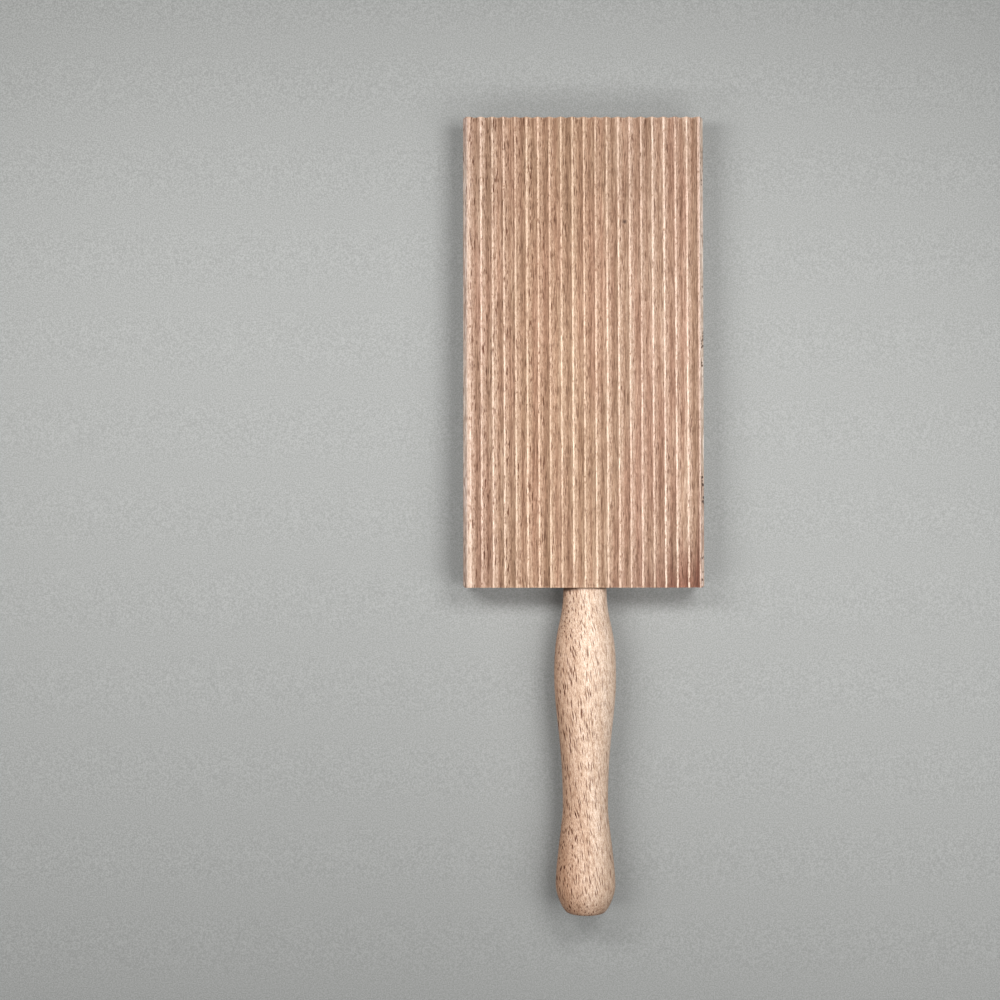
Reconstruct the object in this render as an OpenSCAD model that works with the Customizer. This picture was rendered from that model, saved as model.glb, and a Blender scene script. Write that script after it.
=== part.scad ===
// Gnocchi board: a ribbed beech board with a turned beech handle glued into one end.
// The origin is the middle of the board's flat back.
// +Z comes out of the ribbed face, and +Y runs away from the handle.

/* [Board] */
// Width of the board across the grooves
board_w = 63; // [40:0.5:90]
// Length of the board along the grooves
board_len = 123.5; // [80:0.5:180]
// Thickness of the board from its back to the tops of the ribs
board_t = 12; // [11:0.5:18]
// Bevel along the four long edges of the board
edge_bevel = 0.9; // [0.2:0.1:0.9]
// Bevel on the four upright corners of the board
corner_bevel = 0.4; // [0.2:0.1:1]

/* [Grooves] */
// Distance from one rib to the next
groove_pitch = 3; // [2.5:0.1:5]
// Depth of a groove below the tops of the ribs
groove_depth = 0.95; // [0.6:0.05:1.1]
// Radius of the rounded bottom of a groove
groove_root_r = 0.6; // [0.3:0.1:0.8]
// Width of the flat land left on top of each rib
rib_land_w = 0.4; // [0.2:0.1:0.8]
// Least width of the plain border outside the grooves on each side
side_border = 1.2; // [1.2:0.1:6]
// Sideways shift of the whole groove pattern from the middle of the board
groove_shift = 0.3; // [-0.3:0.1:0.3]

/* [Handle] */
// Length of the handle outside the board
handle_len = 85.5; // [83:0.5:120]
// Sideways shift of the handle from the middle of the board
handle_shift = 0.6; // [-3:0.1:3]
// Diameter of the neck where it meets the board
neck_d = 11.4; // [10:0.1:13]
// Rounding on the rim of the neck's shoulder
shoulder_r = 0.4; // [0.2:0.1:0.8]
// Diameter of the belly, the thickest place under the fingers
belly_d = 16.3; // [13:0.1:20]
// Distance of the belly from the board
belly_at = 23; // [14:0.5:30]
// Diameter of the waist behind the belly
waist_d = 11.9; // [10:0.1:15]
// Distance of the waist from the board
waist_at = 58; // [45:0.5:65]
// Diameter of the knob near the free end
knob_d = 15.7; // [13:0.1:20]
// Distance of the knob from the board
knob_at = 78.5; // [70:0.5:80]
// Diameter of the flat disc that is left on the free end
end_disc_d = 9.7; // [3:0.1:12]

/* [Glued joint] */
// Diameter of the drilled blind bore in the board's end
bore_d = 8; // [5:0.5:8.5]
// Length of the handle's tenon
tenon_len = 20; // [12:0.5:35]
// Bevel on the end of the tenon
tenon_bevel = 0.8; // [0.2:0.1:1.5]
// Thickness of the glue film between tenon and bore
glue_t = 0.1; // [0.05:0.05:0.3]
// Room for spare glue between the end of the tenon and the end of the bore
glue_pool = 1; // [0.5:0.5:3]
// Angle of the drill's point, measured across the cone
drill_point_angle = 118; // [90:1:140]

/* [Hidden] */

// Cuts run this far past the faces that they open
cut_past = 1;

// Steps round the bottom of a groove, and along each curve of the handle
root_steps = 6;
curve_steps = 14;
shoulder_steps = 4;
$fn = 96;

// As many grooves as the board's width takes
groove_count = floor((board_w - 2 * side_border) / groove_pitch);
first_rib_x = groove_shift - groove_count * groove_pitch / 2;
groove_half_w = (groove_pitch - rib_land_w) / 2;

// Slope of a groove's flanks: the line from the rim of the land that just touches the rounded bottom
root_below_rim = groove_depth - groove_root_r;
flank_angle = atan2(root_below_rim, groove_half_w)
    + asin(groove_root_r / norm([groove_half_w, root_below_rim]));

tenon_d = bore_d - 2 * glue_t;
bore_depth = tenon_len + glue_pool;
drill_point_h = bore_d / 2 / tan(drill_point_angle / 2);
board_end_y = -board_len / 2;

// How far each curve of the handle keeps level before it turns, as a share of that curve's own length
neck_to_belly = [0.42, 0.59];
belly_to_waist = [0.33, 0.53];
waist_to_knob = [0.2, 0.3];
knob_to_end = [0.38, 0.3];

// One point of a cubic curve with the four guide points g, at t from 0 to 1
function cubic(g, t) =
    pow(1 - t, 3) * g[0] + 3 * t * pow(1 - t, 2) * g[1] + 3 * t * t * (1 - t) * g[2] + pow(t, 3) * g[3];

// Points along such a curve, without its first one, which the piece before it ends on
function curve(g) = [for (i = [1 : curve_steps]) cubic(g, i / curve_steps)];

// A curve between two thick or thin places of the handle, level at both.
// A place is [radius, distance from the board].
function swell(p, q, level) =
    let (run = q[1] - p[1])
    curve([p, p + [0, level[0] * run], q - [0, level[1] * run], q]);

// The curve over the knob: level at p, and square to the handle where it meets the end disc at q
function round_end(p, q, level) =
    curve([p, p + [0, level[0] * (q[1] - p[1])], q + [level[1] * (p[0] - q[0]), 0], q]);

// Section of one groove that starts at the rib centred on x, from its left rim to its right one
function groove_points(x) =
    let (middle = x + groove_pitch / 2, root_z = board_t - groove_depth + groove_root_r)
    concat(
        [[middle - groove_half_w, board_t]],
        [for (i = [0 : root_steps])
            let (a = flank_angle * (2 * i / root_steps - 1))
            [middle + groove_root_r * sin(a), root_z - groove_root_r * cos(a)]],
        [[middle + groove_half_w, board_t]]
    );

// Section of the board across its length
function board_section() =
    let (side = board_w / 2, b = edge_bevel)
    concat(
        [[side - b, 0], [-side + b, 0], [-side, b], [-side, board_t - b], [-side + b, board_t]],
        [for (i = [0 : groove_count - 1]) each groove_points(first_rib_x + i * groove_pitch)],
        [[side - b, board_t], [side, board_t - b], [side, b]]
    );

// Outline of the board seen from above
function board_plan() =
    let (x = board_w / 2, y = board_len / 2, c = corner_bevel)
    [
        [x - c, -y], [x, -y + c], [x, y - c], [x - c, y],
        [-x + c, y], [-x, y - c], [-x, -y + c], [-x + c, -y]
    ];

// Outline of the tenon, from the middle of its end to the shoulder
function tenon_points() =
    let (r = tenon_d / 2, end = -tenon_len)
    [[0, end], [r - tenon_bevel, end], [r, end + tenon_bevel], [r, 0]];

// Outline of the handle, from the shoulder to the middle of the free end
function grip_points() =
    let (
        neck = [neck_d / 2, shoulder_r],
        belly = [belly_d / 2, belly_at],
        waist = [waist_d / 2, waist_at],
        knob = [knob_d / 2, knob_at],
        disc = [end_disc_d / 2, handle_len]
    )
    concat(
        [for (i = [0 : shoulder_steps])
            let (a = 90 * i / shoulder_steps)
            neck - [shoulder_r * (1 - sin(a)), shoulder_r * cos(a)]],
        swell(neck, belly, neck_to_belly),
        swell(belly, waist, belly_to_waist),
        swell(waist, knob, waist_to_knob),
        round_end(knob, disc, knob_to_end),
        [[0, handle_len]]
    );

// Moves to the joint: the handle's axis runs out of the board along Z, with zero at the board's end face
module at_joint() {
    translate([handle_shift, board_end_y, board_t / 2])
        rotate([90, 0, 0])
            children();
}

module bore() {
    translate([0, 0, -bore_depth])
        cylinder(d = bore_d, h = bore_depth + cut_past);
    translate([0, 0, -bore_depth - drill_point_h])
        cylinder(d1 = 0, d2 = bore_d, h = drill_point_h);
}

// One flat piece of beech with grooves along its whole face and a blind bore in one end
module ribbed_board() {
    color("#cfa98f")
        difference() {
            intersection() {
                translate([0, board_len / 2, 0])
                    rotate([90, 0, 0])
                        linear_extrude(board_len)
                            polygon(board_section());
                translate([0, 0, -cut_past])
                    linear_extrude(board_t + 2 * cut_past)
                        polygon(board_plan());
            }
            at_joint()
                bore();
        }
}

// One turned piece of beech, grip and tenon together
module handle() {
    color("#e7cdb2")
        at_joint()
            rotate_extrude()
                polygon(concat(tenon_points(), grip_points()));
}

// Set wood glue, which fills the bore round the tenon and at its end
module glue_film() {
    color("#efe6c8")
        at_joint()
            difference() {
                translate([0, 0, -bore_depth])
                    cylinder(d = bore_d, h = bore_depth);
                rotate_extrude()
                    polygon(concat(tenon_points(), [[tenon_d / 2, cut_past], [0, cut_past]]));
            }
}

ribbed_board();
handle();
glue_film();
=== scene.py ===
import math

import bpy
import numpy as np
from mathutils import Euler, Matrix, Vector


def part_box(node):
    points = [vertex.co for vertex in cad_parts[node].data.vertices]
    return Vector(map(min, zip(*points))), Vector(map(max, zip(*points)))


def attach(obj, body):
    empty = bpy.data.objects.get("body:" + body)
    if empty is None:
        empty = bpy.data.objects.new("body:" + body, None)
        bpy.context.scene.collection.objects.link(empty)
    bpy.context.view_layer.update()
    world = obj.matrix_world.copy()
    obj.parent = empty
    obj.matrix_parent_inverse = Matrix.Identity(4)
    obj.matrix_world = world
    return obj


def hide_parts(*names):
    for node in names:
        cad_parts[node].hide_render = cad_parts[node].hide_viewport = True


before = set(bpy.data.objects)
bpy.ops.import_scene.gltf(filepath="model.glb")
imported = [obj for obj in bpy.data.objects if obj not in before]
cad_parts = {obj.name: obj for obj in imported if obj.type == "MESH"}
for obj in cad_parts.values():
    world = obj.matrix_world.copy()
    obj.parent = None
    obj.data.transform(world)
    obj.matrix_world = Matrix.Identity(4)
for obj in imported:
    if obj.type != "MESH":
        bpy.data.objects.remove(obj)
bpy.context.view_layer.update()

MM = 0.001

# The board, as the frame has it
board_low, board_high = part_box("ribbed_board")
BOARD_W = board_high.x - board_low.x
BOARD_LEN = board_high.y - board_low.y
BOARD_T = board_high.z - board_low.z
BOARD_END_Y = board_low.y
EDGE_BEVEL = 0.9 * MM
CORNER_BEVEL = 0.4 * MM

# Its grooves
GROOVE_COUNT = 20
GROOVE_PITCH = 3.0 * MM
GROOVE_DEPTH = 0.95 * MM
RIB_LAND_W = 0.4 * MM
ROOT_ROUNDING = 0.35 * MM
FLANK_SLOPE = math.tan(math.radians(41.6))
PATTERN_SHIFT = 0.3 * MM
# The cutter ran a little askew: the ribs drift this far sideways for each unit of length
PATTERN_SKEW = -0.0028

# The handle, as the frame has it: its belly is its widest place, so its box gives its axis
handle_low, handle_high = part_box("handle")
HANDLE_X = (handle_low.x + handle_high.x) / 2
HANDLE_Z = (handle_low.z + handle_high.z) / 2
BELLY_R = (handle_high.x - handle_low.x) / 2
HANDLE_LEN = BOARD_END_Y - handle_low.y
TENON_LEN = handle_high.y - BOARD_END_Y

# The rest of its outline: radii, and distances from the board
SHOULDER_R = 0.4 * MM
NECK_R = 5.7 * MM
BELLY_AT = 23 * MM
WAIST_R, WAIST_AT = 5.95 * MM, 58 * MM
KNOB_R, KNOB_AT = 7.85 * MM, 78.5 * MM
END_DISC_R = 4.85 * MM
TENON_R = 3.9 * MM
TENON_BEVEL = 0.8 * MM
BORE_R = 4.0 * MM
BORE_DEPTH = TENON_LEN + 1.0 * MM

# Kinds of node that the materials and the rib pattern use often
MATH = "ShaderNodeMath"
VECTOR_MATH = "ShaderNodeVectorMath"
COMBINE = "ShaderNodeCombineXYZ"
SEPARATE = "ShaderNodeSeparateXYZ"
COORDINATES = "ShaderNodeTexCoord"
MAP_RANGE = "ShaderNodeMapRange"
MAPPING = "ShaderNodeMapping"
NOISE = "ShaderNodeTexNoise"
VORONOI = "ShaderNodeTexVoronoi"
MIX = "ShaderNodeMix"
BUMP = "ShaderNodeBump"


def linear(hex_colour):
    """An sRGB hex colour as the linear values that a shader takes."""
    parts = [int(hex_colour[i : i + 2], 16) / 255 for i in (1, 3, 5)]
    return [c / 12.92 if c <= 0.04045 else ((c + 0.055) / 1.055) ** 2.4 for c in parts] + [1.0]


def add(tree, kind, inputs=(), out=0, **settings):
    """Adds a node with its settings, fills or links its inputs, and returns the output that is asked for."""
    node = tree.nodes.new(kind)
    for name, value in settings.items():
        setattr(node, name, value)
    for key, value in inputs.items() if isinstance(inputs, dict) else enumerate(inputs):
        if isinstance(value, bpy.types.NodeSocket):
            tree.links.new(value, node.inputs[key])
        else:
            node.inputs[key].default_value = value
    return node.outputs[out] if node.outputs else node


def grain(tree, place, cell, seed, detail=3.0, out="Fac"):
    """Wood grain as noise: one cell of it is as long as cell says along X, Y and Z, in the units of place."""
    spread = add(tree, VECTOR_MATH, [place, tuple(1 / c for c in cell), (seed,) * 3], operation="MULTIPLY_ADD")
    return add(tree, NOISE, {"Vector": spread, "Scale": 1.0, "Detail": detail, "Roughness": 0.6}, out=out)


def ray_flecks(tree, place, cell, radius, seed):
    """The dark spindles of beech's rays, one in each cell: 1 in the middle of a spindle and 0 round it."""
    spread = add(tree, VECTOR_MATH, [place, tuple(1 / c for c in cell), (seed,) * 3], operation="MULTIPLY_ADD")
    away = add(tree, VORONOI, {"Vector": spread, "Scale": 1.0}, out="Distance")
    return add(tree, MAP_RANGE, [away, radius, radius * 0.55], interpolation_type="SMOOTHSTEP")


def layered(tree, colour, layers, blend_type="MIX"):
    """A colour with others laid over it, or multiplied into it, in turn, each by its own share."""
    for share, upper in layers:
        upper = linear(upper) if isinstance(upper, str) else upper
        colour = add(tree, MIX, {0: share, 6: colour, 7: upper}, out=2, data_type="RGBA", blend_type=blend_type)
    return colour


def new_material(name):
    """An empty material: its tree, its surface shader, and Object coordinates in millimetres."""
    material = bpy.data.materials.new(name)
    material.use_nodes = True
    tree = material.node_tree
    tree.nodes.clear()
    shader = add(tree, "ShaderNodeBsdfPrincipled").node
    add(tree, "ShaderNodeOutputMaterial", {"Surface": shader.outputs["BSDF"]})
    place = add(tree, COORDINATES, out="Object")
    mm = add(tree, VECTOR_MATH, {0: place, "Scale": 1 / MM}, operation="SCALE")
    return material, tree, shader, mm


def scooped_beech():
    """Steamed beech, scooped by a moulding cutter and left bare: pinkish brown grooves, furry on one
    flank and pressed smooth on the other, and pale rib tops left from the planed face. Painted light makes the
    furry flank and the rib tops paler, and painted shade darkens the groove roots, the upright sides and the left
    edge. Bands, rings, fine streaks and short dark ray flecks run along the whole plank."""
    material, tree, shader, mm = new_material("scooped_beech")
    x, y, z = add(tree, SEPARATE, [mm]).node.outputs
    facing_x, facing_y, facing_z = add(tree, SEPARATE, [add(tree, COORDINATES, out="Normal")]).node.outputs

    # The fibres wander sideways by a few tenths of a millimetre
    sway = grain(tree, mm, (6, 20, 6), seed=5, detail=2, out="Color")
    wood = add(tree, VECTOR_MATH, [sway, (1.2, 0, 1.2), mm], operation="MULTIPLY_ADD")
    bands = grain(tree, wood, (2.6, 400, 12), seed=21, detail=2)
    rings = grain(tree, wood, (1.6, 32, 8), seed=1)
    blush = grain(tree, wood, (7, 60, 12), seed=11, detail=2)
    streaks = grain(tree, wood, (0.2, 8, 0.4), seed=2, detail=2)
    fibres = grain(tree, wood, (0.15, 2.2, 0.3), seed=3, detail=3)
    nap = grain(tree, mm, (0.18, 0.7, 0.25), seed=9, detail=2)
    long_flecks = ray_flecks(tree, wood, (0.58, 6, 1.1), 0.28, seed=4)
    short_flecks = ray_flecks(tree, wood, (0.42, 3, 0.8), 0.25, seed=7)
    flecks = add(tree, MATH, [long_flecks, short_flecks], operation="MAXIMUM")

    # The cutter left the flank that faces +X furry, and pressed the other one; the furry flank's paler colour is
    # painted light from the +X side. The rims fray a little.
    half_w, half_len = BOARD_W / 2 / MM, BOARD_LEN / 2 / MM
    out_x = add(tree, MATH, [x], operation="ABSOLUTE")
    in_grooves = add(tree, MAP_RANGE, [out_x, half_w - 1.0, half_w - 1.2])
    furry_and_lit_flank = add(tree, MATH, [add(tree, MAP_RANGE, [facing_x, 0.0, 0.6]), in_grooves], operation="MULTIPLY")
    groove_floor = (BOARD_T - GROOVE_DEPTH) / MM
    # Painted shade: the groove roots are darker
    groove_root_shade = add(tree, MAP_RANGE, [z, groove_floor + 0.3, groove_floor + 0.05, 0.0, 0.6])
    frayed = grain(tree, mm, (0.28, 1.4, 0.28), seed=12)
    frayed = add(tree, MAP_RANGE, [frayed, 0.3, 0.7, -0.08, 0.08])
    # The rib tops are pale as the planed face is, and paler still by a painted highlight
    top = add(tree, MAP_RANGE, [add(tree, MATH, [z, frayed]), BOARD_T / MM - 0.11, BOARD_T / MM - 0.02],
              interpolation_type="SMOOTHSTEP")
    # Painted shade: the pale top colour is weaker where the rim turns to face -X
    top = add(tree, MATH, [top, add(tree, MAP_RANGE, [facing_x, -0.6, -0.1, 0.4, 1.0])], operation="MULTIPLY")

    # Hands have greyed the long edges, painted shade darkens the upright sides and the left edge, and the saw left a
    # pale fuzz on the edges of the ends
    handled = add(tree, MAP_RANGE, [out_x, half_w - 1.2, half_w - 0.8, 0.0, 0.8])
    border = add(tree, MATH, [add(tree, MAP_RANGE, [x, half_w - 2.0, half_w - 1.5]),
                              add(tree, MAP_RANGE, [x, half_w - 0.6, half_w - 0.8])], operation="MULTIPLY")
    # Painted shade: the upright sides are darkened
    side = add(tree, MAP_RANGE, [add(tree, MATH, [facing_x], operation="ABSOLUTE"), 0.8, 0.95, 0.0, 0.8])
    out_y = add(tree, MATH, [add(tree, MATH, [y], operation="ABSOLUTE"), nap])
    fuzz = add(tree, MAP_RANGE, [out_y, half_len, half_len + 0.4, 0.0, 0.7])
    surface = layered(tree, linear("#CAB29F"), [
        (furry_and_lit_flank, "#D8C0AF"),
        (groove_root_shade, "#9D7F68"),
        (top, "#E8D3C3"),
        (handled, "#FEFAF6"),
        (side, "#A08C7C"),
        (fuzz, "#E0C8B4")])

    # The plank is warmer to the left of its middle, darker at the far end there, and redder in the grooves at
    # its lower right corner
    from_left = add(tree, MATH, [add(tree, MATH, [x, 7.0])], operation="ABSOLUTE")
    honey = add(tree, MAP_RANGE, [from_left, 20, 8])
    corner = add(tree, MATH, [blush, 60.0, add(tree, MATH, [x, y], operation="SUBTRACT")], operation="MULTIPLY_ADD")
    to_far_end = add(tree, VECTOR_MATH, [mm, (-14, 60, 11)], out="Value", operation="DISTANCE")
    red_corner = add(tree, MAP_RANGE, [corner, 98, 118])
    off_top = add(tree, MATH, [in_grooves, top], operation="SUBTRACT", use_clamp=True)
    red_corner = add(tree, MATH, [red_corner, off_top], operation="MULTIPLY")

    # Small nicks along the right edge, and one pin knot
    nicks = ray_flecks(tree, mm, (1.4, 1.2, 1.4), 0.4, seed=15)
    worn = add(tree, MAP_RANGE, [grain(tree, mm, (60, 12, 60), seed=16, detail=1), 0.48, 0.6])
    nicks = add(tree, MATH, [nicks, worn], operation="MULTIPLY")
    nicks = add(tree, MATH, [nicks, add(tree, MAP_RANGE, [x, half_w - 1.0, half_w - 0.5])], operation="MULTIPLY")
    upper_edge = add(tree, MAP_RANGE, [z, BOARD_T / MM - 2.4, BOARD_T / MM - 1.4])
    nicks = add(tree, MATH, [nicks, upper_edge], operation="MULTIPLY")
    to_knot = add(tree, VECTOR_MATH, [mm, (10.9, 34.3, 11.2)], out="Value", operation="DISTANCE")
    knot = add(tree, MAP_RANGE, [add(tree, MATH, [fibres, to_knot]), 1.3, 0.7, 0.0, 0.9])

    # The rib tops and the furry flanks show the bands, rings and streaks less, and these flanks are coarser
    marked = add(tree, MATH, [add(tree, MATH, [top, furry_and_lit_flank], operation="MAXIMUM"), -0.55, 1.0],
                 operation="MULTIPLY_ADD")
    coarse = add(tree, MATH, [furry_and_lit_flank, 0.4, 0.6], operation="MULTIPLY_ADD")
    dark_fibres = add(tree, MATH, [add(tree, MAP_RANGE, [fibres, 0.42, 0.66]), coarse], operation="MULTIPLY")
    dark_nap = add(tree, MATH, [add(tree, MAP_RANGE, [nap, 0.6, 0.4]), coarse], operation="MULTIPLY")
    # The flecks are strongest on the left third of the plank
    strong = add(tree, MAP_RANGE, [x, -16.0, 0.0, 1.0, 0.72])
    dark_flecks = add(tree, MATH, [add(tree, MATH, [flecks, coarse], operation="MULTIPLY"), strong],
                      operation="MULTIPLY")
    colour = layered(tree, surface, [
        (add(tree, MATH, [add(tree, MAP_RANGE, [bands, 0.38, 0.62]), marked], operation="MULTIPLY"), "#DFD8D1"),
        (add(tree, MATH, [add(tree, MAP_RANGE, [rings, 0.38, 0.62]), marked], operation="MULTIPLY"), "#DCD3CB"),
        (add(tree, MATH, [add(tree, MAP_RANGE, [blush, 0.42, 0.62]), marked], operation="MULTIPLY"), "#F9EEEE"),
        (add(tree, MAP_RANGE, [to_far_end, 60.0, 0.0]), "#F3F0EE"),
        (honey, "#FFFCF4"),
        (red_corner, "#BC988C"),
        # Painted shade: the left edge is darker
        (add(tree, MAP_RANGE, [x, 2.2 - half_w, 1.0 - half_w]), "#D0CAC6"),
        (border, "#E7E0DF"),
        (add(tree, MATH, [add(tree, MAP_RANGE, [streaks, 0.42, 0.62]), marked], operation="MULTIPLY"), "#C6B8AC"),
        (dark_fibres, "#B4A290"),
        (dark_nap, "#DAD1C8"),
        (dark_flecks, "#7C4A30"),
        (nicks, "#664C3E"),
        (knot, "#6C5040")], blend_type="MULTIPLY")

    # The sawn ends are darker, with open pores between the rays
    is_end = add(tree, MAP_RANGE, [add(tree, MATH, [facing_y], operation="ABSOLUTE"), 0.6, 0.9])
    rays = grain(tree, mm, (0.5, 40, 5), seed=6)
    pores = ray_flecks(tree, mm, (0.26, 20, 0.26), 0.3, seed=8)
    end_grain = layered(tree, linear("#AC8870"), [
        (add(tree, MAP_RANGE, [rays, 0.4, 0.6, 0.0, 0.8]), "#8E6450"),
        (add(tree, MATH, [pores, 0.8], operation="MULTIPLY"), "#5F3D2E")])
    tree.links.new(layered(tree, colour, [(is_end, end_grain)]), shader.inputs["Base Color"])

    torn = add(tree, BUMP, {"Height": nap, "Distance": 0.07 * MM, "Strength": 0.7})
    fibrous = add(tree, BUMP, {"Height": fibres, "Distance": 0.08 * MM, "Strength": 0.8, "Normal": torn})
    solid_wood = add(tree, MATH, [1.0, flecks], operation="SUBTRACT")
    open_rays = add(tree, BUMP, {"Height": solid_wood, "Distance": 0.06 * MM, "Strength": 0.7, "Normal": fibrous})
    tree.links.new(open_rays, shader.inputs["Normal"])
    tree.links.new(add(tree, MAP_RANGE, [fibres, 0.3, 0.7, 0.7, 0.85]), shader.inputs["Roughness"])
    # The open rays are rough inside and hardly shine
    shine = add(tree, MAP_RANGE, [dark_flecks, 0.0, 1.0, 0.5, 0.05])
    tree.links.new(shine, shader.inputs["Specular IOR Level"])
    shader.inputs["IOR"].default_value = 1.5
    return material


def turned_beech():
    """White beech, turned and sanded but unfinished: pale pinkish cream, dull, with thin dark ray flecks that
    lean a little to the handle's length. It is browner towards the knob; painted shade darkens its -X flank and
    painted light makes its +X flank paler."""
    material, tree, shader, mm = new_material("turned_beech")
    x, y, z = add(tree, SEPARATE, [mm]).node.outputs
    side = add(tree, MAP_RANGE, [x, (HANDLE_X + BELLY_R) / MM, (HANDLE_X - BELLY_R) / MM, -1.0, 1.0])
    away = add(tree, MATH, [BOARD_END_Y / MM, y], operation="SUBTRACT")

    # The grain leans to the turning axis, and wanders
    sway = grain(tree, mm, (9, 30, 9), seed=6, detail=2, out="Color")
    bent = add(tree, VECTOR_MATH, [sway, (2.4, 0, 2.4), mm], operation="MULTIPLY_ADD")
    wood = add(tree, MAPPING, {"Vector": bent, "Rotation": (0, 0.4, 0.14)}, vector_type="TEXTURE")
    rings = grain(tree, wood, (2.2, 60, 5), seed=1)
    fibres = grain(tree, wood, (0.15, 1.8, 0.3), seed=2, detail=3)
    nap = grain(tree, mm, (0.16, 0.4, 0.2), seed=9, detail=2)
    long_flecks = ray_flecks(tree, wood, (0.4, 5.5, 0.8), 0.335, seed=3)
    short_flecks = ray_flecks(tree, wood, (0.3, 3, 0.6), 0.28, seed=7)
    flecks = add(tree, MATH, [long_flecks, add(tree, MATH, [short_flecks, 0.7], operation="MULTIPLY")],
                 operation="MAXIMUM")

    # The yearly rings lie across X: the lathe cuts them to long lines above and to arcs round the bulges
    year = add(tree, MATH, [add(tree, SEPARATE, [bent]), 0.55], operation="MULTIPLY")
    late_wood = add(tree, MAP_RANGE, [add(tree, MATH, [year], operation="FRACT"), 0.7, 0.95, 0.0, 0.3])
    # Painted shade darkens the -X flank and painted light brightens the +X flank; the wood also browns towards the
    # knob
    browning_and_side_shade = add(tree, MATH, [away, 1 / 150, side], operation="MULTIPLY_ADD")
    browning_and_side_shade = add(tree, MATH, [rings, 0.5, browning_and_side_shade], operation="MULTIPLY_ADD")
    knob_right = add(tree, MATH, [add(tree, MAP_RANGE, [side, -0.2, -1.0]), add(tree, MAP_RANGE, [away, 50, 75])],
                     operation="MULTIPLY")
    close_flecks = add(tree, MAP_RANGE, [browning_and_side_shade, -0.4, 1.0, 0.5, 1.0])

    facing_y = add(tree, SEPARATE, [add(tree, COORDINATES, out="Normal")], out=1)
    # Painted shadow: the board shades the neck beside the joint, most of all on its left
    reach = add(tree, MAP_RANGE, [side, 0.15, 0.6, 0.75, 1.3])
    joint_shadow = add(tree, MAP_RANGE, [add(tree, MATH, [reach, away], operation="SUBTRACT"), 0.0, 0.6, 0.0, 0.85])
    colour = layered(tree, linear("#DDC3AE"), [
        (add(tree, MAP_RANGE, [browning_and_side_shade, 1.4, -0.2]), "#DFCDBD")])
    colour = layered(tree, colour, [
        (add(tree, MAP_RANGE, [browning_and_side_shade, 0.5, 1.6]), "#DCC8B8"),
        (add(tree, MAP_RANGE, [rings, 0.38, 0.64]), "#ECE6E0"),
        (late_wood, "#DCD2CA"),
        (knob_right, "#E0D6CC"),
        (add(tree, MAP_RANGE, [fibres, 0.46, 0.64]), "#C0AEA0"),
        (add(tree, MAP_RANGE, [nap, 0.62, 0.4]), "#E0D6CC"),
        # Painted shade: surfaces that face the free end are darker
        (add(tree, MAP_RANGE, [facing_y, -0.25, -0.8]), "#D8C8BC"),
        (add(tree, MATH, [flecks, close_flecks], operation="MULTIPLY"), "#6A3820"),
        (joint_shadow, "#6A5444")], blend_type="MULTIPLY")
    tree.links.new(colour, shader.inputs["Base Color"])

    sanded = add(tree, BUMP, {"Height": fibres, "Distance": 0.06 * MM, "Strength": 0.8})
    solid_wood = add(tree, MATH, [1.0, flecks], operation="SUBTRACT")
    open_rays = add(tree, BUMP, {"Height": solid_wood, "Distance": 0.06 * MM, "Strength": 0.7, "Normal": sanded})
    tree.links.new(open_rays, shader.inputs["Normal"])
    tree.links.new(add(tree, MAP_RANGE, [fibres, 0.3, 0.7, 0.55, 0.7]), shader.inputs["Roughness"])
    # The open rays are rough inside and hardly shine
    shine = add(tree, MAP_RANGE, [flecks, 0.0, 1.0, 0.5, 0.05])
    tree.links.new(shine, shader.inputs["Specular IOR Level"])
    shader.inputs["IOR"].default_value = 1.5
    return material


def wood_glue():
    """Set white glue: yellowish and slightly clouded. It is hidden in the joint."""
    material, tree, shader, mm = new_material("wood_glue")
    cloud = grain(tree, mm, (2, 2, 2), seed=1, detail=2)
    colour = layered(tree, linear("#EFE6C8"), [(add(tree, MAP_RANGE, [cloud, 0.3, 0.7]), "#E2D3A4")])
    tree.links.new(colour, shader.inputs["Base Color"])
    shader.inputs["Roughness"].default_value = 0.4
    shader.inputs["IOR"].default_value = 1.47
    return material


def grey_card():
    """Matt grey card under the board: plain, with a fine tooth."""
    material, tree, shader, mm = new_material("grey_card")
    mottle = grain(tree, mm, (3, 3, 3), seed=1)
    tooth = grain(tree, mm, (0.34, 0.34, 0.34), seed=2, detail=2)
    colour = layered(tree, linear("#90918F"), [
        (add(tree, MAP_RANGE, [mottle, 0.3, 0.7, 0.0, 0.2]), "#8A8B89"),
        (add(tree, MAP_RANGE, [tooth, 0.38, 0.62]), "#7C7D7B")])
    tree.links.new(colour, shader.inputs["Base Color"])
    shader.inputs["Roughness"].default_value = 0.85
    return material


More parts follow.
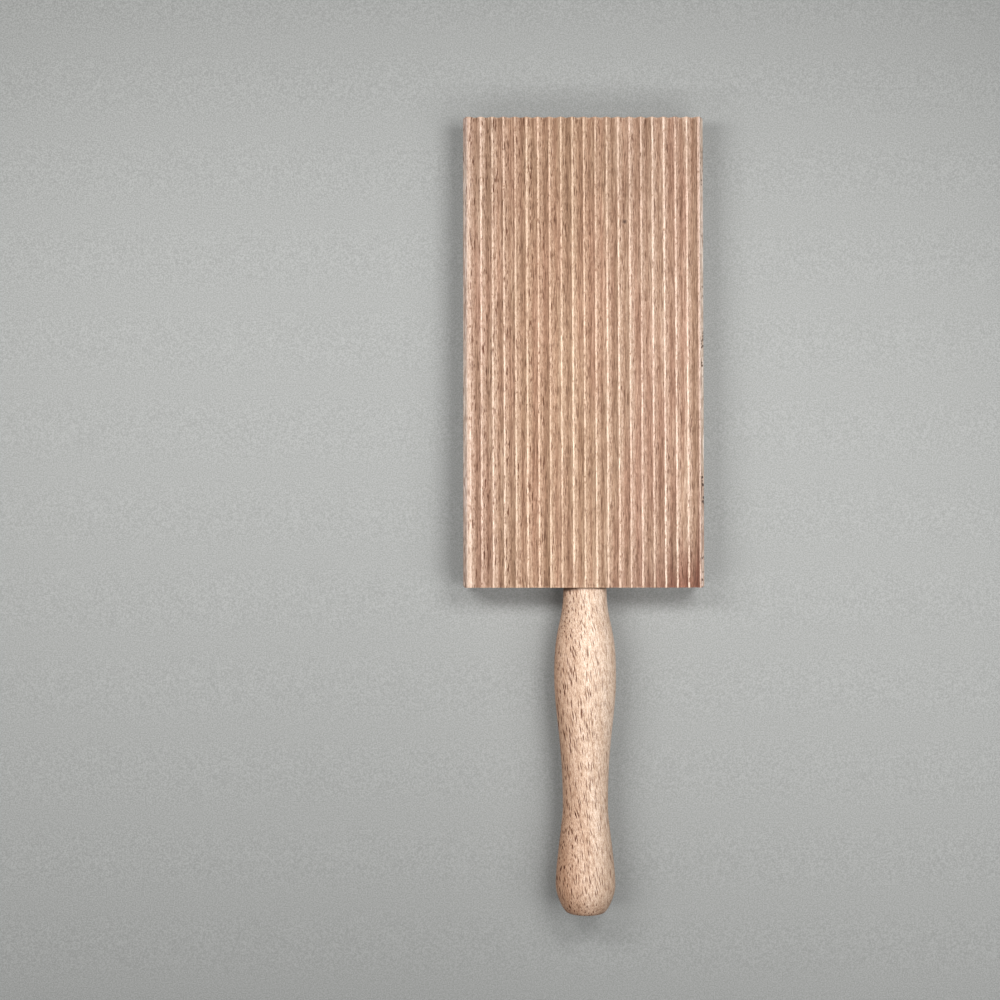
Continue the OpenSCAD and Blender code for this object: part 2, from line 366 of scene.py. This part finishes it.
def ribbed_plank_tree(values):
    """Geometry nodes that draw the plank's section with its grooves, sweep it along the board, and wear it."""
    tree = bpy.data.node_groups.new("ribbed_plank", "GeometryNodeTree")
    sockets = {int: "NodeSocketInt", float: "NodeSocketFloat", bpy.types.Material: "NodeSocketMaterial"}
    for name, value in values.items():
        tree.interface.new_socket(name, in_out="INPUT", socket_type=sockets[type(value)])
    tree.interface.new_socket("Geometry", in_out="OUTPUT", socket_type="NodeSocketGeometry")
    size = add(tree, "NodeGroupInput").node.outputs

    # A run of points for each groove: which groove a point is in, and how far across it
    index = add(tree, "GeometryNodeInputIndex")
    per_groove = add(tree, MATH, [size["Steps across"], 1.0], operation="ADD")
    groove_points = add(tree, MATH, [size["Groove count"], per_groove], operation="MULTIPLY")
    step = add(tree, MATH, [index, per_groove], operation="FLOORED_MODULO")
    groove = add(tree, MATH, [add(tree, MATH, [index, step], operation="SUBTRACT"), per_groove], operation="DIVIDE")
    share = add(tree, MATH, [step, size["Steps across"]], operation="DIVIDE")

    groove_w = add(tree, MATH, [size["Groove pitch"], size["Land width"]], operation="SUBTRACT")
    all_w = add(tree, MATH, [size["Groove count"], size["Groove pitch"]], operation="MULTIPLY")
    first_rib = add(tree, MATH, [all_w, -0.5, size["Pattern shift"]], operation="MULTIPLY_ADD")
    first_rim = add(tree, MATH, [size["Land width"], 0.5, first_rib], operation="MULTIPLY_ADD")
    rim_x = add(tree, MATH, [groove, size["Groove pitch"], first_rim], operation="MULTIPLY_ADD")
    groove_x = add(tree, MATH, [share, groove_w, rim_x], operation="MULTIPLY_ADD")

    # The flanks fall from both rims and run into each other over a rounded root
    from_rim = add(tree, MATH, [share, 0.5], operation="PINGPONG")
    flank = add(tree, MATH, [add(tree, MATH, [from_rim, groove_w], operation="MULTIPLY"), size["Flank slope"]],
                operation="MULTIPLY")
    cut = add(tree, MATH, [flank, size["Groove depth"], size["Root rounding"]], operation="SMOOTH_MIN")
    is_rim = add(tree, MATH, [from_rim, 0.01], operation="LESS_THAN")
    # The sweep turns the section over, so heights are drawn downwards
    groove_z = add(tree, MATH, [cut, size["Thickness"]], operation="SUBTRACT")
    groove_place = add(tree, COMBINE, [groove_x, groove_z])

    # Then the eight corners of the bevelled border: how far they lie in from the side and from which face
    half_w = add(tree, MATH, [size["Width"], 0.5], operation="MULTIPLY")
    in_w = add(tree, MATH, [half_w, size["Edge bevel"]], operation="SUBTRACT")
    upper = add(tree, MATH, [size["Edge bevel"], size["Thickness"]], operation="SUBTRACT")
    lower = add(tree, MATH, [size["Edge bevel"], -1.0], operation="MULTIPLY")
    face = add(tree, MATH, [size["Thickness"], -1.0], operation="MULTIPLY")
    right_side = [(in_w, face), (half_w, upper), (half_w, lower), (in_w, 0.0)]
    corners = [(x, 1.0, z) for x, z in right_side] + [(x, -1.0, z) for x, z in reversed(right_side)]
    border_place = add(tree, "GeometryNodeIndexSwitch", data_type="VECTOR").node
    while len(border_place.index_switch_items) < len(corners):
        border_place.index_switch_items.new()
    tree.links.new(add(tree, MATH, [index, groove_points], operation="SUBTRACT"), border_place.inputs["Index"])
    for i, (x, side, z) in enumerate(corners):
        corner = add(tree, COMBINE, [add(tree, MATH, [x, side], operation="MULTIPLY"), z])
        tree.links.new(corner, border_place.inputs[str(i)])

    in_groove = add(tree, MATH, [index, add(tree, MATH, [groove_points, 0.5], operation="SUBTRACT")],
                    operation="LESS_THAN")
    place = add(tree, "GeometryNodeSwitch",
                {"Switch": in_groove, "False": border_place.outputs[0], "True": groove_place}, input_type="VECTOR")
    count = add(tree, MATH, [groove_points, float(len(corners))], operation="ADD")
    line = add(tree, "GeometryNodeMeshLine", {"Count": count}, mode="OFFSET", count_mode="TOTAL")
    line = add(tree, "GeometryNodeSetPosition", {"Geometry": line, "Position": place})
    rim_part = add(tree, MATH, [is_rim, in_groove], operation="MULTIPLY")
    for name, value in (("groove_part", in_groove), ("rim_part", rim_part)):
        line = add(tree, "GeometryNodeStoreNamedAttribute", {"Geometry": line, "Name": name, "Value": value},
                   data_type="FLOAT", domain="POINT")
    section = add(tree, "GeometryNodeMeshToCurve", {"Mesh": line})
    section = add(tree, "GeometryNodeSetSplineCyclic", {"Geometry": section, "Cyclic": True})

    half_len = add(tree, MATH, [size["Length"], 0.5], operation="MULTIPLY")
    start = add(tree, COMBINE, {"Y": add(tree, MATH, [half_len, -1.0], operation="MULTIPLY")})
    path = add(tree, "GeometryNodeCurvePrimitiveLine", {"Start": start, "End": add(tree, COMBINE, {"Y": half_len})})
    path_count = add(tree, MATH, [size["Steps along"], 1.0], operation="ADD")
    path = add(tree, "GeometryNodeResampleCurve", {"Curve": path, "Count": path_count})
    plank = add(tree, "GeometryNodeCurveToMesh", {"Curve": path, "Profile Curve": section, "Fill Caps": True})

    # Wear: the rims wander and chip, and the grooves show the cutter's chatter and torn fibres
    here = add(tree, "GeometryNodeInputPosition")
    x, y, z = add(tree, SEPARATE, [here]).node.outputs
    seed = add(tree, COMBINE, [size["Seed"], size["Seed"], size["Seed"]])
    seeded = add(tree, VECTOR_MATH, [seed, (0.01,) * 3, here], operation="MULTIPLY_ADD")
    part = {name: add(tree, "GeometryNodeInputNamedAttribute", {"Name": name}, data_type="FLOAT")
            for name in ("groove_part", "rim_part")}
    in_scoop = add(tree, MATH, [part["groove_part"], part["rim_part"]], operation="SUBTRACT")

    wander = grain(tree, seeded, (0.12 * MM, 3 * MM, 0.12 * MM), seed=0)
    least = add(tree, MATH, [size["Rim wander"], -1.0], operation="MULTIPLY")
    wander = add(tree, MAP_RANGE, [wander, 0.25, 0.75, least, size["Rim wander"]])
    wander = add(tree, MATH, [wander, part["rim_part"]], operation="MULTIPLY")
    skew = add(tree, MATH, [y, size["Pattern skew"]], operation="MULTIPLY")
    skew = add(tree, MATH, [skew, part["groove_part"], wander], operation="MULTIPLY_ADD")

    chips = grain(tree, seeded, (0.15 * MM, 0.9 * MM, 0.15 * MM), seed=20, detail=2)
    chips = add(tree, MAP_RANGE, [chips, 0.6, 0.8, 0.0, size["Chip depth"]])
    chips = add(tree, MATH, [chips, part["rim_part"]], operation="MULTIPLY")
    chatter = grain(tree, seeded, (0.3 * MM, 1.0 * MM, 0.3 * MM), seed=40)
    depth = add(tree, MATH, [size["Cutter chatter"], -1.0], operation="MULTIPLY")
    chatter = add(tree, MAP_RANGE, [chatter, 0.25, 0.75, depth, size["Cutter chatter"]])
    new_z = add(tree, MATH, [chatter, in_scoop, z], operation="MULTIPLY_ADD")
    new_z = add(tree, MATH, [new_z, chips], operation="SUBTRACT")

    # The four upright corners are bevelled: near the ends, nothing reaches past the bevel
    to_end = add(tree, MATH, [half_len, add(tree, MATH, [y], operation="ABSOLUTE")], operation="SUBTRACT")
    bevel = add(tree, MATH, [add(tree, MATH, [size["Corner bevel"], to_end], operation="SUBTRACT"), 0.0],
                operation="MAXIMUM")
    reach = add(tree, MATH, [half_w, bevel], operation="SUBTRACT")
    new_x = add(tree, MATH, [x, skew], operation="ADD")
    inside = add(tree, MATH, [add(tree, MATH, [new_x], operation="ABSOLUTE"), reach], operation="MINIMUM")
    new_x = add(tree, MATH, [add(tree, MATH, [new_x], operation="SIGN"), inside], operation="MULTIPLY")
    plank = add(tree, "GeometryNodeSetPosition",
                {"Geometry": plank, "Position": add(tree, COMBINE, [new_x, y, new_z])})

    plank = add(tree, "GeometryNodeSetShadeSmooth", {"Geometry": plank, "Shade Smooth": True}, domain="FACE")
    fold = add(tree, "GeometryNodeInputMeshEdgeAngle", out="Unsigned Angle")
    sharp = add(tree, MATH, [fold, math.radians(33)], operation="GREATER_THAN")
    plank = add(tree, "GeometryNodeSetShadeSmooth",
                {"Geometry": plank, "Selection": sharp, "Shade Smooth": False}, domain="EDGE")
    plank = add(tree, "GeometryNodeRealizeInstances", {"Geometry": plank})
    plank = add(tree, "GeometryNodeSetMaterial", {"Geometry": plank, "Material": size["Wood"]})
    add(tree, "NodeGroupOutput", {"Geometry": plank})
    return tree


def grown_mesh(name, tree, values):
    """Runs a geometry tree once and returns its result as a plain mesh."""
    source = put_in_scene(name + "_source", bpy.data.meshes.new(name + "_source"))
    modifier = source.modifiers.new(name, "NODES")
    modifier.node_group = tree
    for item in tree.interface.items_tree:
        if item.in_out == "INPUT":
            modifier[item.identifier] = values[item.name]
    mesh = applied(source)
    bpy.data.objects.remove(source)
    mesh.name = name
    return mesh


def put_in_scene(name, mesh):
    piece = bpy.data.objects.new(name, mesh)
    bpy.context.scene.collection.objects.link(piece)
    return piece


def applied(piece):
    """The mesh of a piece with its modifiers applied."""
    graph = bpy.context.evaluated_depsgraph_get()
    return bpy.data.meshes.new_from_object(piece.evaluated_get(graph), depsgraph=graph)


def lathe_mesh(name, outline, segments):
    """A closed turned solid about the handle's axis. The outline runs from the axis to the axis again, as pairs
    of radius and distance from the board's end, towards the free end."""
    angles = [2 * math.pi * i / segments for i in range(segments)]
    points = [(HANDLE_X, BOARD_END_Y - outline[0][1], HANDLE_Z)]
    for r, d in outline[1:-1]:
        points += [(HANDLE_X + r * math.cos(a), BOARD_END_Y - d, HANDLE_Z + r * math.sin(a)) for a in angles]
    points.append((HANDLE_X, BOARD_END_Y - outline[-1][1], HANDLE_Z))
    last_ring = 1 + (len(outline) - 3) * segments
    faces = []
    for i in range(segments):
        j = (i + 1) % segments
        faces.append((0, 1 + i, 1 + j))
        faces += [(r + j, r + i, r + segments + i, r + segments + j) for r in range(1, last_ring, segments)]
        faces.append((last_ring + j, last_ring + i, len(points) - 1))
    mesh = bpy.data.meshes.new(name)
    mesh.from_pydata(points, [], faces)
    mesh.shade_smooth()
    mesh.set_sharp_from_angle(angle=math.radians(35))
    return mesh


def cubic(guides, steps):
    """Points along a cubic curve with four guide points, without the first."""
    t = np.linspace(0, 1, steps + 1)[1:, None]
    p, q, r, s = np.array(guides)
    return [tuple(point) for point in (1 - t) ** 3 * p + 3 * t * (1 - t) ** 2 * q + 3 * t**2 * (1 - t) * r + t**3 * s]


def swell(p, q, level, steps):
    """A curve between two thick or thin places of the handle, level at both."""
    run = q[1] - p[1]
    return cubic([p, (p[0], p[1] + level[0] * run), (q[0], q[1] - level[1] * run), q], steps)


def handle_outline():
    """The handle's outline, from the middle of its tenon's end to the middle of its free end."""
    neck, belly = (NECK_R, SHOULDER_R), (BELLY_R, BELLY_AT)
    waist, knob = (WAIST_R, WAIST_AT), (KNOB_R, KNOB_AT)
    disc = (END_DISC_R, HANDLE_LEN)
    outline = [(0, -TENON_LEN), (TENON_R / 2, -TENON_LEN), (TENON_R - TENON_BEVEL, -TENON_LEN),
               (TENON_R, TENON_BEVEL - TENON_LEN), (TENON_R, -TENON_LEN / 2), (TENON_R, 0)]
    for i in range(6):
        a = math.radians(90 * i / 5)
        outline.append((NECK_R - SHOULDER_R * (1 - math.sin(a)), SHOULDER_R * (1 - math.cos(a))))
    outline += swell(neck, belly, (0.42, 0.59), 36)
    outline += swell(belly, waist, (0.33, 0.53), 54)
    outline += swell(waist, knob, (0.2, 0.3), 36)
    over_knob = (KNOB_R, KNOB_AT + 0.38 * (HANDLE_LEN - KNOB_AT))
    beside_disc = (END_DISC_R + 0.3 * (KNOB_R - END_DISC_R), HANDLE_LEN)
    outline += cubic([knob, over_knob, beside_disc, disc], 28)
    # The disc is parted off a little hollow
    outline += [(END_DISC_R * s, HANDLE_LEN - 0.15 * MM * (1 - s)) for s in (0.85, 0.6, 0.35, 0.15)]
    return outline + [(0, HANDLE_LEN - 0.15 * MM)]


def drill_blind_bore(piece):
    """Cuts the blind bore with its drill point into the board's end."""
    point_h = BORE_R / math.tan(math.radians(59))
    outline = [(0, -BORE_DEPTH - point_h), (BORE_R, -BORE_DEPTH), (BORE_R, 2 * MM), (0, 2 * MM)]
    cutter = put_in_scene("bore_cutter", lathe_mesh("bore_cutter", outline, 48))
    cut = piece.modifiers.new("bore", "BOOLEAN")
    cut.object = cutter
    cut.operation = "DIFFERENCE"
    cut.solver = "EXACT"
    mesh = applied(piece)
    piece.modifiers.remove(cut)
    bpy.data.objects.remove(cutter)
    piece.data = mesh


def ribbed_plank():
    """The board: one plank with its grooves, and the bore for the tenon."""
    values = {
        "Width": BOARD_W, "Length": BOARD_LEN, "Thickness": BOARD_T,
        "Edge bevel": EDGE_BEVEL, "Corner bevel": CORNER_BEVEL,
        "Groove count": GROOVE_COUNT, "Groove pitch": GROOVE_PITCH, "Groove depth": GROOVE_DEPTH,
        "Land width": RIB_LAND_W, "Flank slope": FLANK_SLOPE, "Root rounding": ROOT_ROUNDING,
        "Pattern shift": PATTERN_SHIFT, "Pattern skew": PATTERN_SKEW,
        "Rim wander": 0.08 * MM, "Chip depth": 0.25 * MM, "Cutter chatter": 0.05 * MM,
        "Steps across": 8, "Steps along": 380, "Seed": 11, "Wood": scooped_beech()}
    plank = put_in_scene("ribbed_plank", grown_mesh("ribbed_plank", ribbed_plank_tree(values), values))
    drill_blind_bore(plank)
    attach(plank, "root")
    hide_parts("ribbed_board")


def turned_handle():
    """The handle with its tenon, turned from one stick."""
    mesh = lathe_mesh("turned_handle", handle_outline(), 96)
    mesh.materials.append(turned_beech())
    grip = put_in_scene("turned_handle", mesh)
    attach(grip, "root")
    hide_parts("handle")


def dress_glue():
    """The glue film keeps its own solid and gets its finish."""
    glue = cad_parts["glue_film"]
    glue.data.materials.clear()
    glue.data.materials.append(wood_glue())


def floor():
    """A wide plain sheet. The board lies on its far lower edge and on the handle's belly, so in its own frame
    the sheet slopes."""
    belly_y, belly_z = BOARD_END_Y - BELLY_AT, HANDLE_Z - BELLY_R
    slope = (board_low.z - belly_z) / (board_high.y - belly_y)
    half = 1.5
    corners = [(x, y, board_low.z + (y - board_high.y) * slope)
               for x, y in ((-half, -half), (half, -half), (half, half), (-half, half))]
    mesh = bpy.data.meshes.new("floor")
    mesh.from_pydata(corners, [], [(0, 1, 2, 3)])
    mesh.materials.append(grey_card())
    put_in_scene("floor", mesh)


def lights():
    """Four soft boxes round the camera, all facing straight down, and a faint light from the whole room."""
    height = 220
    boxes = {"far_right": ((74, 31), (108, 85), 0.488), "far_left": ((-147, 32), (173, 50), 0.584),
             "near_right": ((152, -125), (243, 150), 0.598), "near_left": ((-231, -139), (325, 52), 0.449)}
    for name, ((x, y), (width, depth), watts) in boxes.items():
        lamp = bpy.data.lights.new(name, "AREA")
        lamp.shape = "RECTANGLE"
        lamp.size, lamp.size_y = width * MM, depth * MM
        lamp.energy = watts
        light = bpy.data.objects.new(name, lamp)
        light.location = Vector((x, y, height)) * MM
        light.visible_camera = False
        bpy.context.scene.collection.objects.link(light)
    world = bpy.data.worlds.new("room")
    world.use_nodes = True
    world.node_tree.nodes["Background"].inputs["Color"].default_value = linear("#F4F6FA")
    world.node_tree.nodes["Background"].inputs["Strength"].default_value = 0.065
    bpy.context.scene.world = world


def camera():
    """Nearly straight down over the board, a little to its left."""
    focal_px, frame_px = 1531.8, 1000
    lens = bpy.data.cameras.new("camera")
    lens.sensor_width = 36.0
    lens.lens = focal_px / frame_px * lens.sensor_width
    lens.clip_start = 0.01
    eye = bpy.data.objects.new("camera", lens)
    lean = [math.radians(a) for a in (1.1124, -0.1034, -0.0517)]
    place = Vector((-22.61, -46.61, BOARD_T / MM + 400)) * MM
    eye.matrix_world = Matrix.Translation(place) @ Euler(lean, "XYZ").to_matrix().to_4x4()
    bpy.context.scene.collection.objects.link(eye)
    bpy.context.scene.camera = eye


bpy.context.scene.view_settings.view_transform = "Standard"
camera()
ribbed_plank()
turned_handle()
dress_glue()
floor()
lights()
